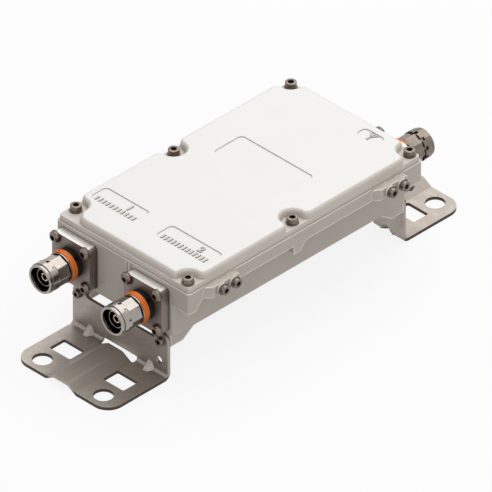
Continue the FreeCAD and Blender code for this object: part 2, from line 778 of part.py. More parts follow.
def pan_screw(name, shank_length):
    """The head is a disc under a dome, which a ball through its rim and its top cuts."""
    rise = "(pan_height - pan_rim)"
    ball_radius = f"((pan_radius * pan_radius + {rise} * {rise}) / (2 * {rise}))"
    ball = doc.addObject("Part::Sphere", name + "_ball")
    ball.setExpression("Radius", bound(ball_radius))
    put(ball, (0, 0, f"pan_height - {ball_radius}"))
    disc = rod(name + "_disc", (0, 0, 0), "z", "pan_height", "pan_radius")
    solid = joined(name + "_solid", [
        shared(name + "_head", disc, ball),
        rod(name + "_shank", (0, 0, 0), "-z", shank_length, "shank_radius"),
    ])
    socket = rod(name + "_socket", (0, 0, "pan_height - socket_depth"), "z", "socket_depth",
                 "socket_radius")
    return cut(name, solid, [socket])


def washer(name, radius, thickness):
    disc = rod(name + "_disc", (0, 0, 0), "z", thickness, radius)
    return cut(name, disc, [rod(name + "_hole", (0, 0, 0), "z", thickness, "hole_radius")])


def make_screws():
    for index, (x, y, end, side) in enumerate(LID_SCREWS, start=1):
        skirt = rod(f"lid_bolt_{index}_skirt", (0, 0, 0), "z", "skirt_height", "skirt_radius")
        screw = cap_screw(f"lid_bolt_{index}", "lid_head_radius", "lid_head_height",
                          "shank_radius", "rim_height + lid_thread_depth", [skirt])
        keep(turned(screw, "z", "z", (x, y, "rim_top")), f"lid_screw_{index}")
    for index, (end, side) in enumerate(PAIRS, start=1):
        screw = cap_screw(f"bracket_bolt_{index}", "bracket_head_radius", "bracket_head_height",
                          "bracket_shank_radius", "sheet_thickness + bracket_thread_depth")
        place = (f"{end} * plate_outer", f"{side} * bracket_screw_y", "bracket_screw_z")
        keep(turned(screw, "z", "x" if end > 0 else "-x", place), f"bracket_screw_{index}")
    washers = []
    for index, x in enumerate(GROUND_SCREWS, start=1):
        screw = cap_screw(f"ground_bolt_{index}", "ground_head_radius", "ground_head_height",
                          "shank_radius", "pad_washer_thickness + ground_thread_depth")
        place = (x, "pad_face - pad_washer_thickness", "ground_screw_z")
        keep(turned(screw, "z", "-y", place), f"ground_screw_{index}")
        ring = washer(f"ground_washer_{index}", "pad_radius", "pad_washer_thickness")
        washers.append(turned(ring, "z", "-y", (x, "pad_face", "ground_screw_z")))
    keep(group("ground_washer_set", washers), "ground_washers")


# Ports: each connector is made along +X from the housing's face and then set on its place

def connector_shell(name):
    half = "flange_size / 2"
    plate = slab(name + "_plate", "yz", (f"-{half}", half), (f"-{half}", half), "flange_corner",
                 "0", "flange_thickness")
    shoulder = rod(name + "_shoulder", ("seal_front", 0, 0), "x", "shoulder_length",
                   "shoulder_radius")
    sleeve = rod(name + "_sleeve", ("sleeve_back", 0, 0), "x", "ring_front - sleeve_back",
                 "sleeve_radius")
    lip = rod(name + "_lip", ("ring_front", 0, 0), "x", "lip_length", "lip_radius")
    flats = []
    for index in range(SLEEVE_FLATS):
        side = block(f"{name}_flat_{index}", ("sleeve_back", "-sleeve_radius / 2", "sleeve_flat"),
                     ("sleeve_back + sleeve_length", "sleeve_radius / 2", "ring_radius"))
        flats.append(about_axis(f"{name}_turned_flat_{index}", side, index + 0.5,
                                SLEEVE_FLATS))
    ring = rod(name + "_ring", ("ring_back - slot_length", 0, 0), "x",
               "ring_length + slot_length", "ring_radius")
    slots = []
    for index in range(RING_SLOTS):
        slot = block(f"{name}_slot_{index}",
                     ("ring_back - slot_length", "-slot_width / 2", "sleeve_flat"),
                     ("ring_back", "slot_width / 2", "ring_radius + fit_gap"))
        slots.append(about_axis(f"{name}_turned_slot_{index}", slot, index, RING_SLOTS))
    line = cut(name + "_line",
               rod(name + "_line_outer", ("sleeve_back + sleeve_length", 0, 0), "x",
                   "sleeve_groove", "ring_radius"),
               [rod(name + "_line_inner", ("sleeve_back + sleeve_length", 0, 0), "x",
                    "sleeve_groove", "sleeve_flat")])
    outer = cut(name + "_outer", joined(name + "_barrel", [sleeve, ring]), flats + slots + [line])
    neck = rod(name + "_neck", (0, 0, 0), "x", "jack_length - fit_gap", "neck_radius")
    mouth = cut(name + "_mouth",
                rod(name + "_mouth_outer", ("mouth_floor", 0, 0), "x", "mouth_depth",
                    "mouth_radius"),
                [rod(name + "_tube", ("mouth_floor", 0, 0), "x", "mouth_depth - tube_recess",
                     "tube_radius")])
    tools = [mouth,
             rod(name + "_inside", (0, 0, 0), "x", "jack_length", "bead_radius + fit_gap"),
             rod(name + "_tube_inside", ("bead_front", 0, 0), "x", "jack_length - bead_front",
                 "tube_bore")]
    for index, (side, rise) in enumerate(PAIRS):
        tools.append(rod(f"{name}_hole_{index}",
                         (0, f"{side} * bolt_offset", f"{rise} * bolt_offset"), "x",
                         "flange_thickness", "hole_radius"))
    return cut(name, joined(name + "_solid", [plate, neck, shoulder, outer, lip]), tools)


def about_axis(name, item, index, count):
    """Turn a copy's place about the connector's own axis."""
    holder = group(name, [item])
    holder.Placement = FreeCAD.Placement(Vector(),
                                         FreeCAD.Rotation(Vector(1, 0, 0), 360 * index / count))
    return holder


def ring_about_x(name, start, length, outer, inner):
    solid = rod(name + "_outside", (start, 0, 0), "x", length, outer)
    return cut(name, solid, [rod(name + "_inside", (start, 0, 0), "x", length, inner)])


def soft_ring(name, start, length, end, outer, radius):
    ring = ring_about_x(name + "_plain", start, length, outer, "neck_radius + fit_gap")
    doc.recompute()
    limit = sheet.get("neck_radius") + 1
    at_end = level("x", end)
    return rounded(name, ring, radius,
                   lambda edge: at_end(edge) and edge.BoundBox.YLength / 2 > limit)


def centre_contact(name, wall):
    """A split socket on a stem that reaches through the wall behind the face."""
    solid = joined(name + "_solid", [
        rod(name + "_head", ("bead_front", 0, 0), "x", "contact_front - bead_front",
            "contact_radius"),
        rod(name + "_stem", (f"-{wall} - stem_tail", 0, 0), "x",
            f"{wall} + stem_tail + bead_front", "stem_radius"),
    ])
    bore = rod(name + "_bore", ("contact_front - contact_bore_depth", 0, 0), "x",
               "contact_bore_depth", "contact_bore")
    slits = [block(f"{name}_slit_{index}",
                   ("contact_front - contact_bore_depth", *low),
                   ("contact_front", *high))
             for index, (low, high) in enumerate((
                 (("-stem_radius / 6", "-contact_radius"), ("stem_radius / 6", "contact_radius")),
                 (("-contact_radius", "-stem_radius / 6"), ("contact_radius", "stem_radius / 6"))))]
    return cut(name, solid, [bore] + slits)


def make_port(port, direction, face, y, wall):
    place = (face, y, "axis_height")
    bead = ring_about_x(port + "_bead", f"-{wall}", f"{wall} + bead_front", "bead_radius",
                        "stem_radius + fit_gap")
    pieces = {
        "connector": connector_shell(port + "_shell"),
        "collar": soft_ring(port + "_round_collar", "flange_thickness", "collar_length",
                            "collar_front", "collar_radius", "collar_round"),
        "seal_ring": soft_ring(port + "_round_seal", "collar_front", "seal_length",
                               "seal_front", "seal_radius", "seal_round"),
        "insulator": bead,
        "contact": centre_contact(port + "_centre", wall),
    }
    for label, item in pieces.items():
        keep(turned(item, "x", direction, place), f"{port}_{label}")
    screws, washers = [], []
    outward = 1 if direction == "x" else -1
    for index, (side, rise) in enumerate(PAIRS):
        across = f"{y} + {side} * bolt_offset"
        height = f"axis_height + {rise} * bolt_offset"
        front = f"{face} + {outward} * flange_thickness"
        ring = washer(f"{port}_washer_{index}", "washer_radius", "washer_thickness")
        washers.append(turned(ring, "z", direction, (front, across, height)))
        screw = pan_screw(f"{port}_screw_{index}",
                          "washer_thickness + flange_thickness + flange_thread_depth")
        under = f"{front} + {outward} * washer_thickness"
        screws.append(turned(screw, "z", direction, (under, across, height)))
    keep(group(port + "_screw_set", screws), port + "_screws")
    keep(group(port + "_washer_set", washers), port + "_washers")


# Foot bracket: made at the rear end, and turned half round for the front end

def foot_solid(name):
    side = "bracket_width / 2"
    plate = block(name + "_plate", ("half_length", f"-{side}", "bend_outer"),
                  ("plate_outer", side, "bracket_height"))
    ears = [rod(f"{name}_ear_{turn + 1}", ("half_length", f"{turn} * bracket_screw_y",
                                           "bracket_screw_z"),
                "x", "sheet_thickness", "ear_radius") for turn in (-1, 1)]
    ears += [ear_fillet(f"{name}_ear_fillet_{turn + 1}", turn) for turn in (-1, 1)]
    bend_x = "half_length + bend_outer"
    corner = block(name + "_corner", ("half_length", f"-{side}", "0"),
                   (bend_x, side, "bend_outer"))
    place = (bend_x, f"-{side}", "bend_outer")
    bend = cut(name + "_bend",
               shared(name + "_outer_bend", corner,
                      rod(name + "_bend_disc", place, "y", "bracket_width", "bend_outer")),
               [rod(name + "_bend_core", place, "y", "bracket_width", "bend_inner")])
    foot = slab(name + "_foot", "xy", ("window_start", "foot_end"), (f"-{side}", side),
                "foot_corner", "0", "sheet_thickness")
    root = block(name + "_root", (bend_x, f"-{side}", "0"),
                 ("window_start + window_length", side, "sheet_thickness"))
    ridge = prism(name + "_ridge", "yz",
                  [("-ridge_base", "sheet_thickness / 2"), ("ridge_base", "sheet_thickness / 2"),
                   ("ridge_base", "sheet_thickness"), ("ridge_top", "ridge_crest"),
                   ("-ridge_top", "ridge_crest"), ("-ridge_base", "sheet_thickness")],
                  "slot_end", "foot_end - slot_end")
    doc.recompute()
    ridge = rounded(name + "_soft_ridge", ridge, "ridge_round",
                    along("x", level("z", "ridge_crest")))
    flat = joined(name + "_flat", [plate, bend, foot, root, ridge] + ears)
    limit = sheet.get("ridge_base") + 0.1
    at_base = along("x", level("z", "sheet_thickness"))
    flat = rounded(name + "_soft_flat", flat, "ridge_fillet",
                   lambda edge: at_base(edge) and abs(edge.BoundBox.YMax) < limit)
    return joined(name + "_solid", [flat] + [gusset(name, turn) for turn in (-1, 1)])


def ear_fillet(name, side):
    """The hollow between an ear and the plate's upper edge."""
    centre = (f"{side} * ear_fillet_y", "bracket_height + ear_fillet")
    ear = f"{side} * bracket_screw_y"
    web = prism(name + "_web", "yz",
                [(centre[0], "bracket_height"), (ear, "bracket_height"),
                 (ear, "bracket_screw_z"), centre], "half_length", "sheet_thickness")
    return cut(name, web, [rod(name + "_hollow", ("half_length", *centre), "x",
                               "sheet_thickness", "ear_fillet")])


def gusset(name, side):
    """A dart pressed into the bend, wide at the bend and narrow at its crest."""
    name = f"{name}_gusset_{side + 1}"
    low, high = "sheet_thickness / 2", "sheet_thickness + gusset_leg"
    start = "plate_outer - sheet_thickness / 2"
    web = prism(name + "_web", "xz",
                [(start, low), ("plate_outer + gusset_leg", low),
                 ("plate_outer + gusset_leg", "sheet_thickness"), ("plate_outer", high),
                 (start, high)],
                f"{side} * gusset_y - gusset_base - sheet_thickness",
                "2 * (gusset_base + sheet_thickness)")
    return shared(name, web, gusset_flanks(name, side, "-sheet_thickness",
                                           "gusset_depth + sheet_thickness / 2", "0"))


def gusset_flanks(name, side, near, far, wall):
    """A wedge across the bend, between two distances from the bend's corner."""
    wedge = doc.addObject("Part::Wedge", name + "_flanks")
    turn = FreeCAD.Rotation(Vector(1, 0, -1), Vector(1, 0, 1), Vector(0, -1, 0), "XYZ")
    wedge.Placement = FreeCAD.Placement(Vector(), turn)
    for size in ("Xmax", "X2max"):
        wedge.setExpression(size, bound("2 * gusset_leg"))
    for size in ("Xmin", "X2min"):
        wedge.setExpression(size, bound("-2 * gusset_leg"))
    wedge.setExpression("Ymin", bound(near))
    wedge.setExpression("Ymax", bound(far))
    for size, distance in (("Z", near), ("Z2", far)):
        half = f"gusset_base - gusset_taper * ({distance}) - ({wall})"
        wedge.setExpression(size + "max", bound(half))
        wedge.setExpression(size + "min", bound(f"-({half})"))
    return put(wedge, ("plate_outer", f"{side} * gusset_y", "sheet_thickness"))


def make_bracket(name, direction):
    bottom, past = "-sheet_thickness", "ridge_crest + sheet_thickness"
    under = prism(name + "_under", "yz",
                  [("-ridge_base", "0"), ("-ridge_base", bottom), ("ridge_base", bottom),
                   ("ridge_base", "0"), ("ridge_top", "ridge_height"),
                   ("-ridge_top", "ridge_height")],
                  "slot_end - sheet_thickness", "foot_end - slot_end + 2 * sheet_thickness")
    doc.recompute()
    under = rounded(name + "_soft_under", under, "ridge_inner_round",
                    along("x", level("z", "ridge_height")))
    slot = slab(name + "_slot", "yz", ("-slot_half_width", "slot_half_width"),
                (bottom, "slot_top"), "slot_corner", "half_length - sheet_thickness",
                "slot_end - half_length + sheet_thickness")
    tools = [under, slot]
    dimple = "gusset_leg + (2 - sqrt(2)) * sheet_thickness"
    for turn in (-1, 1):
        inner = "window_inner" if turn > 0 else "-window_inner - window_width"
        tools.append(slab(f"{name}_window_{turn + 1}", "xy",
                          ("window_start", "window_start + window_length"),
                          (inner, f"{inner} + window_width"), "window_corner", bottom,
                          f"{past} - ({bottom})"))
        tools.append(rod(f"{name}_foot_hole_{turn + 1}",
                         ("foot_hole_x", f"{turn} * foot_hole_y", bottom), "z",
                         f"{past} - ({bottom})", "foot_hole_radius"))
        tools.append(rod(f"{name}_plate_hole_{turn + 1}",
                         ("half_length", f"{turn} * bracket_screw_y", "bracket_screw_z"), "x",
                         "sheet_thickness", "bracket_hole_radius"))
        mould = prism(f"{name}_mould_{turn + 1}", "xz",
                      [("half_length", "0"), (f"half_length + {dimple}", "0"),
                       ("half_length", dimple)],
                      f"{turn} * gusset_y - gusset_base - 2 * sheet_thickness",
                      "2 * gusset_base + 4 * sheet_thickness")
        flanks = gusset_flanks(f"{name}_mould_{turn + 1}", turn, "-1.5 * sheet_thickness",
                               "gusset_depth - sheet_thickness / 2", "gusset_wall")
        tools.append(shared(f"{name}_dimple_{turn + 1}", mould, flanks))
    tools.append(rod(name + "_pilot", ("half_length", "pilot_y", "pilot_z"), "x",
                     "sheet_thickness", "pilot_radius"))
    bracket = cut(name + "_sheet", foot_solid(name), tools)
    keep(turned(bracket, "x", direction, (0, 0, 0)), name + "_bracket")


# Inside: the tuning plate with its screws, the resonators and the conductors

def high_resonators():
    for index, x in enumerate(HIGH_PLACES, start=1):
        base = (x, "port_2_y", "cavity_floor")
        post = rod(f"high_post_{index}", base, "z", "high_height", "high_radius")
        bore = rod(f"high_bore_{index}", (x, "port_2_y", "high_top"), "-z",
                   "resonator_bore_depth", "high_bore")
        keep(cut(f"high_finished_{index}", post, [bore]), f"high_band_resonator_{index}")


def low_resonators():
    for index, x in enumerate(LOW_PLACES, start=1):
        post = rod(f"low_post_{index}", (x, "low_place", "cavity_floor"), "z",
                   "low_height + low_cap_thickness", "low_radius")
        cap = rod(f"low_cap_{index}", (x, "low_place", "low_top"), "z", "low_cap_thickness",
                  "low_cap_radius")
        bore = rod(f"low_bore_{index}", (x, "low_place", "low_top + low_cap_thickness"), "-z",
                   "resonator_bore_depth", "low_bore")
        keep(cut(f"low_finished_{index}", joined(f"low_solid_{index}", [post, cap]), [bore]),
             f"low_band_resonator_{index}")


def make_tuning_plate():
    places = [(x, "port_2_y") for x in HIGH_PLACES] + [(x, "low_place") for x in LOW_PLACES]
    plate = slab("plate_blank", "xy", ("plate_gap - seat_end", "seat_end - plate_gap"),
                 ("seat_near + plate_gap", "seat_far - plate_gap"), "plate_corner - plate_gap",
                 "plate_seat", "plate_thickness")
    tools = []
    for index, (x, y) in enumerate(places):
        tools.append(rod(f"tuning_hole_{index}", (x, y, "plate_seat"), "z", "plate_thickness",
                         "tuning_radius + fit_gap"))
    for index, (x, y) in enumerate(PLATE_SCREWS):
        tools.append(rod(f"plate_hole_{index}", (x, y, "plate_seat"), "z", "plate_thickness",
                         "plate_screw_radius + hole_gap"))
    keep(cut("finished_plate", plate, tools), "tuning_plate")

    screws = []
    for index, (x, y) in enumerate(PLATE_SCREWS):
        screws.append(joined(f"plate_screw_{index}", [
            rod(f"plate_head_{index}", (x, y, "plate_top"), "z", "plate_head_height",
                "plate_head_radius"),
            rod(f"plate_shank_{index}", (x, y, "plate_top"), "-z",
                "plate_thickness + plate_screw_depth", "plate_screw_radius"),
        ]))
    keep(group("plate_screw_set", screws), "tuning_plate_screws")

    rods, nuts = [], []
    for index, (x, y) in enumerate(places):
        rods.append(rod(f"tuning_rod_{index}", (x, y, "tuning_top"), "-z", "tuning_length",
                        "tuning_radius"))
        nuts.append(tuning_nut(f"tuning_nut_{index}", x, y))
    keep(group("tuning_rod_set", rods), "tuning_screws")
    keep(group("tuning_nut_set", nuts), "tuning_nuts")


def tuning_nut(name, x, y):
    blank = doc.addObject("Part::Prism", name + "_blank")
    blank.Polygon = 6
    blank.setExpression("Circumradius", bound("nut_flats / sqrt(3)"))
    blank.setExpression("Height", bound("nut_height"))
    put(blank, (x, y, "plate_top"))
    return cut(name, blank, [rod(name + "_hole", (x, y, "plate_top"), "z", "nut_height",
                                 "tuning_radius + fit_gap")])


def strip(name, first, second):
    """A flat stretch of conductor between two points, half a width past each."""
    low = [f"min({start}; {end}) - strip_width / 2" for start, end in zip(first, second)]
    high = [f"max({start}; {end}) + strip_width / 2" for start, end in zip(first, second)]
    return block(name, (*low, "strip_bottom"), (*high, "strip_top"))


def make_conductors():
    """Each conductor is clamped on its contact's tail and ends beside the first post."""
    last_high, last_low = HIGH_PLACES[-1], LOW_PLACES[-1]
    half = "strip_width / 2"
    inside = "cavity_end - stem_tail - strip_gap"
    common = [
        strip("feed", (f"{inside} - {half}", "antenna_y"), ("junction_place", "antenna_y")),
        strip("cross", ("junction_place", "antenna_y"), ("junction_place", "low_place")),
        strip("high_arm", ("junction_place", "port_2_y"),
              (f"{last_high} + high_radius + strip_gap + {half}", "port_2_y")),
        strip("low_arm", ("junction_place", "low_place"),
              (f"{last_low} + low_radius + strip_gap + {half}", "low_place")),
    ]
    keep(joined("common_strip", common), "common_line")
    first_high, first_low = HIGH_PLACES[0], LOW_PLACES[0]
    tap = strip("tap_2", (f"-({inside}) + {half}", "port_2_y"),
                (f"{first_high} - high_radius - strip_gap - {half}", "port_2_y"))
    keep(tap, "port_2_tap")
    tap = joined("tap_1", [
        strip("tap_1_out", (f"-({inside}) + {half}", "port_1_y"), ("tap_turn", "port_1_y")),
        strip("tap_1_cross", ("tap_turn", "port_1_y"), ("tap_turn", "low_place")),
        strip("tap_1_in", ("tap_turn", "low_place"),
              (f"{first_low} - low_radius - strip_gap - {half}", "low_place")),
    ])
    keep(tap, "port_1_tap")


make_housing()
make_lid()
make_screws()
for port_name, port_layout in PORTS.items():
    make_port(port_name, *port_layout)
make_bracket("front", "-x")
make_bracket("rear", "x")
high_resonators()
low_resonators()
make_tuning_plate()
make_conductors()
doc.recompute()

for item in doc.Objects:
    if "Invalid" in item.State or "Error" in item.State:
        raise ValueError(f"{item.Name} failed: {item.State}")
for item in parts:
    if item.Shape.isNull() or not item.Shape.isValid():
        raise ValueError(f"{item.Label} has no valid shape")

os.makedirs("parts", exist_ok=True)
for item in parts:
    item.Shape.exportStep(f"parts/{item.Label}.step")
print(f"{len(parts)} sub-parts written")
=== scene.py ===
import bpy
import bmesh
import json
from math import atan2, hypot, pi, radians, sqrt
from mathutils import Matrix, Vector


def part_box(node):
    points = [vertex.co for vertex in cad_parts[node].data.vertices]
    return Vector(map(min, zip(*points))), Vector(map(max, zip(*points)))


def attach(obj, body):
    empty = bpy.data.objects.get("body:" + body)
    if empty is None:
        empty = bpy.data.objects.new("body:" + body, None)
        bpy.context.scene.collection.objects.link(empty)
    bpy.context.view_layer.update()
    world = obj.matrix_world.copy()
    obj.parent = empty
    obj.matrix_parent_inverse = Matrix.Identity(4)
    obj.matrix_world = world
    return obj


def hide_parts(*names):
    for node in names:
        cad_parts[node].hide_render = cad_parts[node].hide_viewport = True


# A cavity diplexer: white lid on a grey cast housing, three plated coaxial jacks,
# bent sheet steel feet. All in metres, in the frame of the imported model.

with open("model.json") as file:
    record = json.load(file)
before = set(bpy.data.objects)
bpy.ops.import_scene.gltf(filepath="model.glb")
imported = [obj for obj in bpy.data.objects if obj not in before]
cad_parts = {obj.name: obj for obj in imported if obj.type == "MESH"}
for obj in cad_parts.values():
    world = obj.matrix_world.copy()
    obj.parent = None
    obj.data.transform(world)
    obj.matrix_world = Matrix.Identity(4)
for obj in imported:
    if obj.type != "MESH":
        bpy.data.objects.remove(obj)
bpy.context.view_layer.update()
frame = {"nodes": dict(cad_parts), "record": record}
nodes = frame["nodes"]
mm = 0.001
lidLow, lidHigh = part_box("lid")
bpy.context.scene.view_settings.view_transform = "Standard"
print("frame loaded:", len(nodes), "nodes")


# Camera, at the photograph's angle

camera = {
    "lens": 1600,  # so long that the view is as good as parallel
    "sensor": 36,
    "frameWidth": 295.3 * mm,
    "target": Vector((-4.75, -10.05, 35)) * mm,
    "direction": Vector((-1, -1, 1)).normalized(),
}
bpy.ops.object.camera_add()
view = bpy.context.object
view.name = "camera"
view.data.lens = camera["lens"]
view.data.sensor_width = camera["sensor"]
distance = camera["frameWidth"] * camera["lens"] / camera["sensor"]
view.location = camera["target"] + camera["direction"] * distance
view.rotation_mode = "QUATERNION"
view.rotation_quaternion = (-camera["direction"]).to_track_quat("-Z", "Y")
view.data.clip_start = distance / 100
view.data.clip_end = distance * 10
bpy.context.scene.camera = view
print("camera set")


# Node helpers

def linearColour(hexText):
    channels = [int(hexText[start:start + 2], 16) / 255 for start in (0, 2, 4)]
    toLinear = [c / 12.92 if c <= 0.04045 else ((c + 0.055) / 1.055) ** 2.4 for c in channels]
    return (*toLinear, 1)


def addNode(tree, kind, inputs=(), **settings):
    # inputs stand in order, or by name or number: a value, a hex colour or a node's output
    node = tree.nodes.new("ShaderNode" + kind)
    for name, value in settings.items():
        setattr(node, name, value)
    for key, value in inputs.items() if isinstance(inputs, dict) else enumerate(inputs):
        if isinstance(value, bpy.types.NodeSocket):
            tree.links.new(value, node.inputs[key])
        elif isinstance(value, str):
            node.inputs[key].default_value = linearColour(value)
        else:
            node.inputs[key].default_value = value
    return node


def startMaterial(name, settings):
    material = bpy.data.materials.new(name)
    material.use_nodes = True
    tree = material.node_tree
    shader = tree.nodes["Principled BSDF"]
    for socket, value in settings.items():
        shader.inputs[socket].default_value = value
    place = addNode(tree, "TexCoord").outputs["Object"]
    return material, tree, shader, place


def finishSurface(tree, shader, colour, roughness, height, depth, edgeWidth):
    tree.links.new(colour, shader.inputs["Base Color"])
    tree.links.new(roughness, shader.inputs["Roughness"])
    soft = addNode(tree, "Bevel", {"Radius": edgeWidth}, samples=6)  # edges catch light
    relief = addNode(tree, "Bump", {"Strength": 1, "Distance": depth, "Height": height,
                                    "Normal": soft.outputs["Normal"]})
    tree.links.new(relief.outputs["Normal"], shader.inputs["Normal"])


# Wet paint over a rough aluminium casting: satin and a faint orange peel, with pale lines along
# the edges as a painted highlight, and painted shade darkening the creases. The lid's raised top
# has a coat of white.

paintMasks = {
    "bend": (0.995, 0.92),  # how well a rounded edge's normal agrees with its face's own
    "open": (0.7, 0.95), "crease": (0.45, 0.85), "level": (0.86, 0.97), "topBlend": 0.2 * mm,
}


def paintedCasting(name, look):
    material, tree, shader, place = startMaterial(name, {"IOR": 1.5})
    cloud = addNode(tree, "TexNoise", {"Vector": place, "Scale": 1 / look["cloudSize"],
                                       "Detail": 3}).outputs["Fac"]
    peel = addNode(tree, "TexNoise", {"Vector": place, "Scale": 1 / look["peelSize"],
                                      "Detail": 2}).outputs["Fac"]
    skin = addNode(tree, "Mix", {0: cloud, 6: look["colour"], 7: look["cloudColour"]},
                   data_type="RGBA").outputs[2]
    gloss = addNode(tree, "MapRange", [peel, 0, 1, *look["roughness"]]).outputs[0]
    # painted highlight: a pale colour laid along rounded edges in open places, where light
    # catches them
    soft = addNode(tree, "Bevel", {"Radius": look["edgeHighlightWidth"]}, samples=8).outputs["Normal"]
    plain = addNode(tree, "NewGeometry").outputs["Normal"]
    bend = addNode(tree, "VectorMath", [soft, plain], operation="DOT_PRODUCT")
    edge = addNode(tree, "MapRange", [bend.outputs["Value"], *paintMasks["bend"],
                                      0, look["edgeHighlightShare"]])
    room = addNode(tree, "AmbientOcclusion", {"Distance": look["creaseShadeWidth"]}, samples=8)
    outside = addNode(tree, "MapRange", [room.outputs["AO"], *paintMasks["open"]])
    stainAndHighlight = addNode(tree, "Math", [edge.outputs[0], outside.outputs[0]], operation="MULTIPLY")
    # painted shade: the colour darkened where the space round a point is closed, in creases,
    # recesses and joints
    crease = addNode(tree, "MapRange", [room.outputs["AO"], *paintMasks["crease"],
                                        look["creaseShadeShare"], 0])
    if "topColour" in look:
        height = addNode(tree, "SeparateXYZ", [place]).outputs["Z"]
        facing = addNode(tree, "SeparateXYZ", [plain]).outputs["Z"]
        high = addNode(tree, "MapRange", [height, look["topFrom"],
                                          look["topFrom"] + paintMasks["topBlend"]])
        level = addNode(tree, "MapRange", [facing, *paintMasks["level"]])
        top = addNode(tree, "Math", [high.outputs[0], level.outputs[0]], operation="MULTIPLY")
        white = addNode(tree, "Mix", {0: cloud, 6: look["topColour"], 7: look["topCloud"]},
                        data_type="RGBA")
        skin = addNode(tree, "Mix", {0: top.outputs[0], 6: skin, 7: white.outputs[2]},
                       data_type="RGBA").outputs[2]
    edgeHighlighted = addNode(tree, "Mix", {0: stainAndHighlight.outputs[0], 6: skin, 7: look["edgeHighlightColour"]},
                     data_type="RGBA")
    creaseShaded = addNode(tree, "Mix", {0: crease.outputs[0], 6: edgeHighlighted.outputs[2],
                                  7: look["creaseShadeColour"]}, data_type="RGBA")
    finishSurface(tree, shader, creaseShaded.outputs[2], gloss, peel, look["peelDepth"],
                  look["edgeWidth"])
    return material


# Warm grey satin, with pale painted highlights along its edges
housingPaint = paintedCasting("greyPaintOnCastAluminium", {
    "colour": "CAC2B8", "cloudColour": "C2B9AE", "edgeHighlightColour": "FFFBF5", "edgeHighlightShare": 1.0,
    "creaseShadeColour": "6E655B", "creaseShadeShare": 0.55, "creaseShadeWidth": 1.6 * mm,
    "cloudSize": 22 * mm, "peelSize": 1.8 * mm, "peelDepth": 0.04 * mm,
    "roughness": (0.38, 0.52), "edgeWidth": 0.25 * mm, "edgeHighlightWidth": 1.5 * mm,
})
# A paler grey on the rim and the flanks, and a clean white top
lidPaint = paintedCasting("whiteAndGreyPaintOnCastAluminium", {
    "colour": "DDD5CC", "cloudColour": "D5CDC3", "edgeHighlightColour": "F8F5F0", "edgeHighlightShare": 0.8,
    "topColour": "F2F1EE", "topCloud": "EEEDEB", "topFrom": lidHigh.z - 1.7 * mm,
    "creaseShadeColour": "8F857A", "creaseShadeShare": 0.4, "creaseShadeWidth": 1.4 * mm,
    "cloudSize": 30 * mm, "peelSize": 1.6 * mm, "peelDepth": 0.03 * mm,
    "roughness": (0.36, 0.48), "edgeWidth": 0.3 * mm, "edgeHighlightWidth": 1 * mm,
})
# Raised marks: a duller white on top, their sides dark as painted shade, with more painted shade
# gathered along the low step
markPaint = paintedCasting("whitePaintOnRaisedMarks", {
    "colour": "756C63", "cloudColour": "6C635A", "edgeHighlightColour": "D8D3CC", "edgeHighlightShare": 0.2,
    "topColour": "D8D4CE", "topCloud": "CFCAC4", "topFrom": lidHigh.z - 1.6 * mm,
    "creaseShadeColour": "6B6259", "creaseShadeShare": 0.9, "creaseShadeWidth": 0.8 * mm,
    "cloudSize": 6 * mm, "peelSize": 1.6 * mm, "peelDepth": 0.03 * mm,
    "roughness": (0.36, 0.48), "edgeWidth": 0.1 * mm, "edgeHighlightWidth": 0.3 * mm,
})


# Metals: a drawn, rolled or turned grain runs one way, with soft stains between. The grain's
# size along each axis is drawn coarse enough to show. A zone has a colour and gloss of its own:
# it reaches so far from the middle along one axis, and takes the faces whose normals rise as
# steeply as its limits say.

metalMasks = {"stain": (0.35, 0.75), "nook": (0.25, 0.9), "zoneBlend": 0.1 * mm}
# how far a normal rises or falls where a zone's share is none, and where it is full
everyFace, levelFaces, risingFaces, uprightFaces = (1.1, 1), (0.8, 0.95), (0.3, 0.5), (0.6, 0.4)


def sizeAlong(tree, vector, axis):
    part = addNode(tree, "SeparateXYZ", [vector]).outputs[axis]
    return addNode(tree, "Math", [part], operation="ABSOLUTE").outputs[0]


def zoneShare(tree, place, plain, zone):
    inside = addNode(tree, "MapRange", [sizeAlong(tree, place, zone["along"]), zone["within"],
                                        zone["within"] + metalMasks["zoneBlend"], 1, 0])
    facing = addNode(tree, "MapRange", [sizeAlong(tree, plain, "Z"), *zone["faces"]])
    both = addNode(tree, "Math", [inside.outputs[0], facing.outputs[0]], operation="MULTIPLY")
    return both.outputs[0]


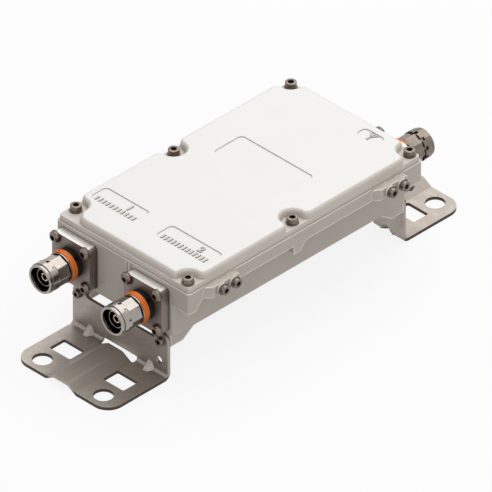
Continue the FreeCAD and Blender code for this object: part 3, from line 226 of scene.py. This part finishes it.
def grainedMetal(name, look):
    material, tree, shader, place = startMaterial(name, {"Metallic": 1})
    scales = [1 / size for size in look["grain"]]
    run = addNode(tree, "Mapping", {"Vector": place, "Scale": scales}).outputs["Vector"]
    grain = addNode(tree, "TexNoise", {"Vector": run, "Scale": 1, "Detail": 2}).outputs["Fac"]
    stain = addNode(tree, "TexNoise", {"Vector": place, "Scale": 1 / look["stainSize"],
                                       "Detail": 4}).outputs["Fac"]
    stainAndHighlight = addNode(tree, "Math", [grain, look["grainShare"], stain], operation="MULTIPLY_ADD")
    low, high = metalMasks["stain"]
    spread = addNode(tree, "MapRange", [stainAndHighlight.outputs[0], low,
                                        high + look["grainShare"]]).outputs[0]
    colour = addNode(tree, "Mix", {0: spread, 6: look["colour"], 7: look["stainColour"]},
                     data_type="RGBA").outputs[2]
    gloss = addNode(tree, "MapRange", [spread, 0, 1, *look["roughness"]]).outputs[0]
    plain = addNode(tree, "NewGeometry").outputs["Normal"]
    for zone in look.get("zones", []):
        share = zoneShare(tree, place, plain, zone)
        colour = addNode(tree, "Mix", {0: share, 6: colour, 7: zone["colour"]},
                         data_type="RGBA").outputs[2]
        gloss = addNode(tree, "Mix", {0: share, 2: gloss, 3: zone["roughness"]},
                        data_type="FLOAT").outputs[0]
    # painted shade: the colour darkened where the space round a point is closed, in nooks,
    # holes, slots and under heads
    room = addNode(tree, "AmbientOcclusion", {"Distance": look["nookShadeReach"]}, samples=8)
    nook = addNode(tree, "MapRange", [room.outputs["AO"], *metalMasks["nook"],
                                      look["nookShadeShare"], 0])
    nookShaded = addNode(tree, "Mix", {0: nook.outputs[0], 6: colour, 7: look["nookShadeColour"]},
                        data_type="RGBA")
    finishSurface(tree, shader, nookShaded.outputs[2], gloss, grain, look["grainDepth"],
                  look["edgeWidth"])
    return material


# Zinc plate on rolled sheet: pale and a little cloudy, with the roll's lines across the foot.
# The pressed ridge is duller than the sheet round it, and the foot's sheared edges are dark.
bracketSteel = grainedMetal("platedRolledSheetSteel", {
    "colour": "B4ACA4", "stainColour": "928981",
    "grain": (0.909 * mm, 2 * mm, 0.909 * mm), "grainShare": 0.9,
    "stainSize": 7 * mm, "roughness": (0.42, 0.52), "grainDepth": 0.008 * mm,
    "edgeWidth": 0.35 * mm, "nookShadeReach": 9 * mm, "nookShadeShare": 0.7, "nookShadeColour": "5A5149",
    "zones": [{"along": "Y", "within": 12.9 * mm, "faces": risingFaces, "colour": "9A9189",
               "roughness": 0.55},
              {"along": "Z", "within": 2.25 * mm, "faces": uprightFaces, "colour": "4A423B",
               "roughness": 0.6}],
})
# Oiled, darkened screw steel: brown, with brighter rubbed spots
screwSteel = grainedMetal("brownedScrewSteel", {
    "colour": "8C8178", "stainColour": "5F554D",
    "grain": (0.833 * mm, 0.833 * mm, 0.833 * mm), "grainShare": 0.3,
    "stainSize": 2.5 * mm, "roughness": (0.22, 0.36), "grainDepth": 0.01 * mm,
    "edgeWidth": 0.2 * mm, "nookShadeReach": 2.5 * mm, "nookShadeShare": 0.9, "nookShadeColour": "1E1916",
})
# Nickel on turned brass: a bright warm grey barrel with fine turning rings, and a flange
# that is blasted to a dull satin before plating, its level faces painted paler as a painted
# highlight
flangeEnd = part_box("antenna_port_collar")[0].x + 1.3 * mm
nickelLook = {
    "colour": "AAA39D", "stainColour": "99928C",
    "grain": (0.625 * mm, 11.1 * mm, 11.1 * mm), "grainShare": 0.4,
    "stainSize": 6 * mm, "roughness": (0.16, 0.24), "grainDepth": 0.002 * mm,
    "edgeWidth": 0.25 * mm, "nookShadeReach": 6 * mm, "nookShadeShare": 0.85, "nookShadeColour": "2A2421",
    "zones": [{"along": "X", "within": flangeEnd, "faces": everyFace, "colour": "8A807B",
               "roughness": 0.5},
              # painted highlight: the flange's level faces paler, for the light that falls on
              # them
              {"along": "X", "within": flangeEnd, "faces": levelFaces, "colour": "E2DFDC",
               "roughness": 0.4}],
}
nickelPlate = grainedMetal("nickelPlateOnTurnedBrass", nickelLook)
# The antenna jack's plate is a browner, darker nickel
brownNickelPlate = grainedMetal("brownNickelPlateOnTurnedBrass", {
    **nickelLook, "colour": "8B8178", "stainColour": "6B6159", "roughness": (0.2, 0.3),
})
# Gold over turned brass: a soft pale gold
goldPlate = grainedMetal("goldPlateOnBrass", {
    "colour": "CDB9A2", "stainColour": "B9A48E",
    "grain": (0.625 * mm, 5 * mm, 5 * mm), "grainShare": 0.3,
    "stainSize": 2 * mm, "roughness": (0.2, 0.3), "grainDepth": 0.004 * mm,
    "edgeWidth": 0.15 * mm, "nookShadeReach": 1.5 * mm, "nookShadeShare": 0.7, "nookShadeColour": "3B2E22",
})
# Silver over brass: pale and a little cloudy
silverPlate = grainedMetal("silverPlateOnBrass", {
    "colour": "D4D2CE", "stainColour": "BDBAB4",
    "grain": (2.5 * mm, 2.5 * mm, 11.1 * mm), "grainShare": 0.5,
    "stainSize": 7 * mm, "roughness": (0.22, 0.36), "grainDepth": 0.008 * mm,
    "edgeWidth": 0.25 * mm, "nookShadeReach": 4 * mm, "nookShadeShare": 0.5, "nookShadeColour": "6A655E",
})
# Turned brass: warm yellow with the tool's lines
bareBrass = grainedMetal("turnedBrass", {
    "colour": "C9A866", "stainColour": "B09154",
    "grain": (5 * mm, 5 * mm, 0.833 * mm), "grainShare": 0.5,
    "stainSize": 4 * mm, "roughness": (0.24, 0.38), "grainDepth": 0.01 * mm,
    "edgeWidth": 0.2 * mm, "nookShadeReach": 2 * mm, "nookShadeShare": 0.6, "nookShadeColour": "5C4726",
})


# Plastics and rubber: an even body colour with the mould's fine grain, drawn coarse enough
# to show

def mouldedPolymer(name, look):
    material, tree, shader, place = startMaterial(name, {"IOR": look["ior"]})
    grain = addNode(tree, "TexNoise", {"Vector": place, "Scale": 1 / look["grainSize"],
                                       "Detail": 2}).outputs["Fac"]
    dust = addNode(tree, "TexNoise", {"Vector": place, "Scale": 1 / look["dustSize"],
                                      "Detail": 4}).outputs["Fac"]
    colour = addNode(tree, "Mix", {0: dust, 6: look["colour"], 7: look["dustColour"]},
                     data_type="RGBA")
    gloss = addNode(tree, "MapRange", [grain, 0, 1, *look["roughness"]])
    finishSurface(tree, shader, colour.outputs[2], gloss.outputs[0], grain, look["grainDepth"],
                  look["edgeWidth"])
    return material


# Glossy, near black
blackPlastic = mouldedPolymer("glossyMouldedNylon", {
    "colour": "060606", "dustColour": "100F0E", "ior": 1.5, "grainSize": 0.9 * mm,
    "dustSize": 3 * mm, "roughness": (0.12, 0.22), "grainDepth": 0.01 * mm,
    "edgeWidth": 0.2 * mm,
})
# Bright satin orange
orangeRubber = mouldedPolymer("mouldedSiliconeRubber", {
    "colour": "E8771C", "dustColour": "DE6A14", "ior": 1.42, "grainSize": 0.8 * mm,
    "dustSize": 2.5 * mm, "roughness": (0.36, 0.5), "grainDepth": 0.02 * mm,
    "edgeWidth": 0.3 * mm,
})
# Dull black
blackRubber = mouldedPolymer("mouldedGasketRubber", {
    "colour": "1B1B1B", "dustColour": "262524", "ior": 1.5, "grainSize": 0.8 * mm,
    "dustSize": 3 * mm, "roughness": (0.6, 0.8), "grainDepth": 0.02 * mm,
    "edgeWidth": 0.2 * mm,
})
# Waxy, milky white
whiteBead = mouldedPolymer("turnedFluoropolymer", {
    "colour": "E6E3DC", "dustColour": "DAD6CD", "ior": 1.36, "grainSize": 0.7 * mm,
    "dustSize": 2 * mm, "roughness": (0.4, 0.55), "grainDepth": 0.01 * mm,
    "edgeWidth": 0.2 * mm,
})

finishes = {
    "cast_grey_paint": housingPaint, "cast_white_paint": lidPaint,
    "bracket_steel": bracketSteel, "screw_steel": screwSteel, "bright_plate": nickelPlate,
    "black_ring": blackPlastic, "seal_orange": orangeRubber, "seal_black": blackRubber,
    "bead_white": whiteBead, "contact_gold": goldPlate, "inner_silver": silverPlate,
    "inner_brass": bareBrass,
}
ownFinish = {"antenna_port_connector": brownNickelPlate}
slots = {row["node"]: row["material_slot"] for row in frame["record"]["subparts"]}
for name, node in nodes.items():
    node.data.materials.clear()
    node.data.materials.append(ownFinish.get(name, finishes[slots[name]]))
print("materials set:", len(finishes))


# Modelling: faces and edges are picked in code, by their place and their normal

tiny = 0.001 * mm
smoothAngle = radians(32)


def pick(kind, test):
    bpy.ops.mesh.select_mode(type=kind)
    bpy.ops.mesh.select_all(action="DESELECT")
    shape = bmesh.from_edit_mesh(bpy.context.object.data)
    for item in (shape.faces if kind == "FACE" else shape.edges):
        if test(item):
            item.select_set(True)
    bmesh.update_edit_mesh(bpy.context.object.data)


def facesUp(face):
    return face.normal.z > 0.9


def facesDown(face):
    return face.normal.z < -0.9


def reach(vert):
    return hypot(vert.co.x, vert.co.y)


def atRim(edge, radius, height):
    return all(abs(reach(v) - radius) < tiny and abs(v.co.z - height) < tiny
               for v in edge.verts)


def pushUp(height):
    bpy.ops.mesh.extrude_region_move(TRANSFORM_OT_translate={"value": (0, 0, height)})


def narrow(share, **about):
    bpy.ops.transform.resize(value=(share, share, 1), **about)


def soften(width, segments=2):
    bpy.ops.mesh.bevel(offset=width, segments=segments, affect="EDGES")


def selectOnly(*pieces):
    # the first of them is the active one
    bpy.ops.object.select_all(action="DESELECT")
    for piece in pieces:
        piece.select_set(True)
    bpy.context.view_layer.objects.active = pieces[0]


def roundStock(name, sides, radius, height):
    # a bar standing on the origin, left in edit mode
    bpy.ops.object.select_all(action="DESELECT")
    bpy.ops.mesh.primitive_cylinder_add(vertices=sides, radius=radius, depth=height,
                                        location=(0, 0, height / 2))
    bpy.context.object.name = name
    bpy.ops.object.transform_apply(location=True, rotation=True, scale=True)
    bpy.ops.object.mode_set(mode="EDIT")
    return bpy.context.object


def makeShank(look, seat):
    # drawn down from the middle of the head's flat underside, whose radius is the seat
    pick("FACE", facesDown)
    bpy.ops.mesh.inset(thickness=seat - look["shank"])
    pushUp(-look["length"] + look["point"])
    pushUp(-look["point"])
    narrow(1 - look["point"] / look["shank"])


# The drilled cone at a socket's floor, in shares of the socket's radius and depth
socketCone = {"ledge": 0.15, "depth": 0.25, "tip": 0.2}


def cutSocket(screw, look, top):
    # a hexagon socket down from the head's top
    bpy.ops.object.mode_set(mode="OBJECT")
    cutter = roundStock("socketCutter", 6, look["socket"], look["socketDepth"] * 2)
    pick("FACE", facesDown)
    bpy.ops.mesh.inset(thickness=look["socket"] * socketCone["ledge"])
    pushUp(-look["socketDepth"] * socketCone["depth"])
    narrow(socketCone["tip"])
    bpy.ops.object.mode_set(mode="OBJECT")
    cutter.location.z = top - look["socketDepth"]
    selectOnly(screw)
    bpy.ops.object.modifier_add(type="BOOLEAN")
    screw.modifiers[-1].object = cutter
    screw.modifiers[-1].solver = "EXACT"
    bpy.ops.object.modifier_apply(modifier=screw.modifiers[-1].name)
    bpy.data.objects.remove(cutter)
    bpy.ops.object.shade_smooth_by_angle(angle=smoothAngle)
    return screw


def isFlute(edge, look):
    # every second upright edge round the head
    first, second = edge.verts
    step = 2 * pi / look["sides"]
    upright = abs(first.co.z - second.co.z) > look["height"] / 2
    outer = min(reach(first), reach(second)) > look["head"] * 0.99
    return upright and outer and round(atan2(first.co.y, first.co.x) / step) % 2 == 0


def capScrew(name, look):
    screw = roundStock(name, look["sides"], look["under"], look["skirt"])
    pick("FACE", facesUp)
    bpy.ops.mesh.inset(thickness=look["under"] - look["head"])
    pushUp(look["height"] - look["skirt"])
    pick("EDGE", lambda edge: isFlute(edge, look))
    narrow(look["knurl"], center_override=(0, 0, 0))
    pick("EDGE", lambda edge: min(v.co.z for v in edge.verts) > look["height"] - tiny)
    soften(look["round"], 3)
    pick("EDGE", lambda edge: atRim(edge, look["under"], look["skirt"]))
    soften(look["skirtRound"])
    makeShank(look, look["under"])
    return cutSocket(screw, look, look["height"])


def domeScrew(name, look):
    # the dome is part of a ball, taken in rings that grow narrower
    screw = roundStock(name, look["sides"], look["under"], look["rim"])
    rise = look["height"] - look["rim"]
    ball = (look["under"] ** 2 + rise ** 2) / (2 * rise)
    pick("FACE", facesUp)
    radius, level = look["under"], look["rim"]
    for share in look["rings"]:
        nextRadius = look["under"] * share
        nextLevel = look["height"] - ball + sqrt(ball ** 2 - nextRadius ** 2)
        pushUp(nextLevel - level)
        narrow(nextRadius / radius)
        radius, level = nextRadius, nextLevel
    pick("EDGE", lambda edge: atRim(edge, look["under"], look["rim"])
         or atRim(edge, look["under"], 0))
    soften(look["round"])
    makeShank(look, look["under"] - look["round"])
    return cutSocket(screw, look, level)


def flatWasher(name, look):
    washer = roundStock(name, look["sides"], look["outer"], look["thickness"])
    pick("FACE", lambda face: facesUp(face) or facesDown(face))
    bpy.ops.mesh.inset(thickness=look["outer"] - look["hole"])
    bpy.ops.mesh.delete(type="FACE")
    pick("EDGE", lambda edge: edge.is_boundary)
    bpy.ops.mesh.bridge_edge_loops()
    pick("EDGE", lambda edge: atRim(edge, look["outer"], 0)
         or atRim(edge, look["outer"], look["thickness"]))
    soften(look["round"])
    bpy.ops.object.mode_set(mode="OBJECT")
    bpy.ops.object.shade_smooth_by_angle(angle=smoothAngle)
    return washer


def dressPiece(piece, name, slotName, finish=None):
    piece.name = name
    piece.data.name = name
    piece.data.materials.clear()
    piece.data.materials.append(finish or finishes[slotName])
    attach(piece, "root")


def setPieces(name, model, spots, direction, node):
    # a copy of the model on each spot, standing in the direction, joined to one piece
    copies = []
    for spot in spots:
        selectOnly(model)
        bpy.ops.object.duplicate()
        copied = bpy.context.object
        copied.location = spot
        copied.rotation_mode = "QUATERNION"
        copied.rotation_quaternion = direction.to_track_quat("Z", "Y")
        bpy.ops.object.transform_apply(location=True, rotation=True, scale=True)
        copies.append(copied)
    if len(copies) > 1:
        selectOnly(*copies)
        bpy.ops.object.join()
    dressPiece(bpy.context.object, name, slots[node])
    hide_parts(node)


def underHead(node, direction, look):
    # the point under a screw's head, or midway under a set of heads that face one way
    low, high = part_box(node)
    half = sum(abs(share) * size / 2 for share, size in zip(direction, high - low))
    return (low + high) / 2 + direction * (half - look["height"])


def outward(node):
    low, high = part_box(node)
    return Vector((1 if low.x + high.x > 0 else -1, 0, 0))


# Lid screws: cap heads with a flange, a fluted side and a hexagon socket

lidScrew = {
    "sides": 48, "under": 4.1 * mm, "skirt": 0.7 * mm, "head": 3.6 * mm, "height": 4.2 * mm,
    "knurl": 0.965, "round": 0.3 * mm, "skirtRound": 0.2 * mm, "shank": 2 * mm,
    "length": 11.8 * mm, "point": 0.5 * mm, "socket": 2.1 * mm, "socketDepth": 2 * mm,
}
model = capScrew("lidScrewModel", lidScrew)
up = Vector((0, 0, 1))
for index in range(1, 7):
    node = f"lid_screw_{index}"
    setPieces(f"lidScrew_{index}", model, [underHead(node, up, lidScrew)], up, node)
bpy.data.objects.remove(model)
print("lid screws done")

# Bracket screws: small cap heads

bracketScrew = {
    "sides": 36, "under": 3 * mm, "skirt": 0.35 * mm, "head": 2.85 * mm, "height": 3 * mm,
    "knurl": 0.965, "round": 0.25 * mm, "skirtRound": 0.1 * mm, "shank": 1.5 * mm,
    "length": 9.7 * mm, "point": 0.4 * mm, "socket": 1.6 * mm, "socketDepth": 1.5 * mm,
}
model = capScrew("bracketScrewModel", bracketScrew)
for index in range(1, 5):
    node = f"bracket_screw_{index}"
    away = outward(node)
    setPieces(f"bracketScrew_{index}", model, [underHead(node, away, bracketScrew)], away, node)
bpy.data.objects.remove(model)
print("bracket screws done")

# Ground screws and their washers

groundScrew = {
    "sides": 40, "under": 3.4 * mm, "skirt": 0.4 * mm, "head": 3.2 * mm, "height": 2.4 * mm,
    "knurl": 0.97, "round": 0.3 * mm, "skirtRound": 0.12 * mm, "shank": 2 * mm,
    "length": 8.7 * mm, "point": 0.5 * mm, "socket": 1.8 * mm, "socketDepth": 1.4 * mm,
}
groundWasher = {"sides": 48, "outer": 3.9 * mm, "hole": 2.25 * mm, "thickness": 0.7 * mm,
                "round": 0.15 * mm}
model = capScrew("groundScrewModel", groundScrew)
near = Vector((0, -1, 0))
washerSpots = []
for index in range(1, 5):
    node = f"ground_screw_{index}"
    spot = underHead(node, near, groundScrew)
    setPieces(f"groundScrew_{index}", model, [spot], near, node)
    washerSpots.append(spot - near * groundWasher["thickness"])
bpy.data.objects.remove(model)
model = flatWasher("groundWasherModel", groundWasher)
setPieces("groundWashers", model, washerSpots, near, "ground_washers")
bpy.data.objects.remove(model)
print("ground screws and washers done")

# Jack flange screws: domed heads on washers, four to a jack

flangeScrew = {
    "sides": 48, "under": 3.9 * mm, "rim": 1.1 * mm, "height": 3.1 * mm,
    "rings": (0.96, 0.88, 0.78, 0.66, 0.54), "round": 0.2 * mm, "shank": 2 * mm,
    "length": 13.2 * mm, "point": 0.5 * mm, "socket": 1.85 * mm, "socketDepth": 1.8 * mm,
}
flangeWasher = {"sides": 48, "outer": 4.1 * mm, "hole": 2.25 * mm, "thickness": 0.8 * mm,
                "round": 0.15 * mm}
screwModel = domeScrew("flangeScrewModel", flangeScrew)
washerModel = flatWasher("flangeWasherModel", flangeWasher)
for port in ("port_1", "port_2", "antenna_port"):
    low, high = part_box(port + "_screws")
    offset = (high.y - low.y) / 2 - flangeScrew["under"]
    away = outward(port + "_screws")
    centre = underHead(port + "_screws", away, flangeScrew)
    places = [centre + Vector((0, across * offset, rise * offset))
              for across in (-1, 1) for rise in (-1, 1)]
    setPieces(port + "_flangeScrews", screwModel, places, away, port + "_screws")
    setPieces(port + "_flangeWashers", washerModel,
              [place - away * flangeWasher["thickness"] for place in places], away,
              port + "_washers")
bpy.data.objects.remove(screwModel)
bpy.data.objects.remove(washerModel)
print("flange screws and washers done")

# Raised marks in the lid's recessed fields: a number, a row of plain bars, an antenna sign

marks = {
    "floor": lidHigh.z - 0.75 * mm, "height": 0.6 * mm, "edge": 0.1 * mm,
    "digits": {"1": (lidLow.x + 29.6 * mm, lidHigh.y - 30.4 * mm),
               "2": (lidLow.x + 29.6 * mm, lidLow.y + 18.8 * mm)},
    "digitSize": 7.4 * mm, "digitTurn": -90, "strokeGain": 0.12 * mm,
    "barRows": {"1": {"first": lidHigh.y - 8.7 * mm, "last": lidHigh.y - 39.8 * mm, "count": 11},
                "2": {"first": lidLow.y + 45 * mm, "last": lidLow.y + 9.5 * mm, "count": 13}},
    "barX": lidLow.x + 23.4 * mm, "barLength": 4.3 * mm, "barWidth": 1.2 * mm,
    "antennaX": lidHigh.x - 11.6 * mm, "antennaAside": -1.1 * mm, "lineWidth": 1.1 * mm,
    "mastLength": 7 * mm, "armLength": 4.6 * mm, "armTurn": 38,
    "armAhead": 0.42, "armAside": 0.34,  # shares of the arm's length
}


def raisedBar(x, y, length, width, turn=0):
    # a bar with soft upper edges, its length along X before it is turned
    bpy.ops.object.select_all(action="DESELECT")
    bpy.ops.mesh.primitive_cube_add(size=1)
    bar = bpy.context.object
    bar.scale = (length, width, marks["height"])
    bar.rotation_euler.z = radians(turn)
    bar.location = (x, y, marks["floor"] + marks["height"] / 2)
    bpy.ops.object.transform_apply(location=False, rotation=False, scale=True)
    bpy.ops.object.mode_set(mode="EDIT")
    pick("EDGE", lambda edge: min(v.co.z for v in edge.verts) > 0)
    soften(marks["edge"])
    bpy.ops.object.mode_set(mode="OBJECT")
    bpy.ops.object.transform_apply(location=True, rotation=True, scale=True)
    return bar


def joinMarks(name, pieces):
    selectOnly(*pieces)
    bpy.ops.object.join()
    dressPiece(bpy.context.object, name, "cast_white_paint", markPaint)


for digit, (x, y) in marks["digits"].items():
    bpy.ops.object.select_all(action="DESELECT")
    bpy.ops.object.text_add()
    sign = bpy.context.object
    sign.data.body = digit
    sign.data.size = marks["digitSize"]
    sign.data.align_x = "CENTER"
    sign.data.align_y = "CENTER"
    sign.data.offset = marks["strokeGain"]
    sign.data.extrude = marks["height"] / 2 - marks["edge"]
    sign.data.bevel_depth = marks["edge"]
    sign.data.bevel_resolution = 1
    bpy.ops.object.convert(target="MESH")
    sign = bpy.context.object
    sign.rotation_euler.z = radians(marks["digitTurn"])
    sign.location = (x, y, marks["floor"] + marks["height"] / 2)
    bpy.ops.object.transform_apply(location=True, rotation=True, scale=True)
    dressPiece(sign, "portDigit_" + digit, "cast_white_paint", markPaint)
    row = marks["barRows"][digit]
    pitch = (row["last"] - row["first"]) / (row["count"] - 1)
    joinMarks("portBars_" + digit, [
        raisedBar(marks["barX"], row["first"] + index * pitch, marks["barLength"],
                  marks["barWidth"]) for index in range(row["count"])])

antennaLow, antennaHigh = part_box("antenna_port_connector")
x, y = marks["antennaX"], (antennaLow.y + antennaHigh.y) / 2 + marks["antennaAside"]
antennaLines = [raisedBar(x, y, marks["mastLength"], marks["lineWidth"])]
for side in (-1, 1):
    antennaLines.append(raisedBar(x + marks["armLength"] * marks["armAhead"],
                                  y + side * marks["armLength"] * marks["armAside"],
                                  marks["armLength"], marks["lineWidth"],
                                  turn=side * marks["armTurn"]))
joinMarks("antennaSign", antennaLines)
print("raised marks done")


# Light: a broad soft key from above the far side, a weaker one from the near side, even sky

lights = {
    "keyFrom": (0.5, 0.15, 1), "keySize": 2.0, "keyPower": 13.8,
    "nearFrom": (-0.5, -0.9, 0.9), "nearSize": 1.4, "nearPower": 4.4,
    "reach": 1.5, "sky": 0.45,
}


def softLamp(name, direction, size, power):
    bpy.ops.object.light_add(type="AREA")
    lamp = bpy.context.object
    lamp.name = name
    towards = Vector(direction).normalized()
    lamp.location = towards * lights["reach"]
    lamp.rotation_mode = "QUATERNION"
    lamp.rotation_quaternion = towards.to_track_quat("Z", "Y")
    lamp.data.shape = "DISK"
    lamp.data.size = size
    lamp.data.energy = power


softLamp("keyLamp", lights["keyFrom"], lights["keySize"], lights["keyPower"])
softLamp("nearLamp", lights["nearFrom"], lights["nearSize"], lights["nearPower"])


def seenRays(tree):
    # 1 for rays from the camera and for those seen in metal and glass
    rays = addNode(tree, "LightPath").outputs
    seen = rays["Is Camera Ray"]
    for other in ("Is Glossy Ray", "Is Transmission Ray"):
        seen = addNode(tree, "Math", [seen, rays[other]], operation="MAXIMUM").outputs[0]
    return seen


world = bpy.data.worlds.new("studio")
bpy.context.scene.world = world
world.use_nodes = True
skyTree = world.node_tree
sky = skyTree.nodes["Background"]
sky.inputs["Color"].default_value = (1, 1, 1, 1)
skyLevel = addNode(skyTree, "MapRange", [seenRays(skyTree), 0, 1, lights["sky"], 1])
skyTree.links.new(skyLevel.outputs[0], sky.inputs["Strength"])

# Floor: pale paper, seen near white with a faint shadow, a duller grey for the light it returns

floorLook = {"size": 40, "paper": "F4F4F4", "returned": "C4C2C0", "ownWhite": 0.86}
bpy.ops.mesh.primitive_plane_add(size=floorLook["size"])
floor = bpy.context.object
floor.name = "floor"
floorPaper = bpy.data.materials.new("paleFloorPaper")
floorPaper.use_nodes = True
floorTree = floorPaper.node_tree
floorTree.nodes.remove(floorTree.nodes["Principled BSDF"])
returned = addNode(floorTree, "BsdfDiffuse", {"Color": floorLook["returned"]}).outputs[0]
paper = addNode(floorTree, "BsdfDiffuse", {"Color": floorLook["paper"]}).outputs[0]
white = addNode(floorTree, "Emission", {"Color": "FFFFFF", "Strength": 1}).outputs[0]
shown = addNode(floorTree, "MixShader", [floorLook["ownWhite"], paper, white]).outputs[0]
mixed = addNode(floorTree, "MixShader", [seenRays(floorTree), returned, shown])
floorTree.links.new(mixed.outputs[0], floorTree.nodes["Material Output"].inputs["Surface"])
floor.data.materials.append(floorPaper)
print("light and floor set")
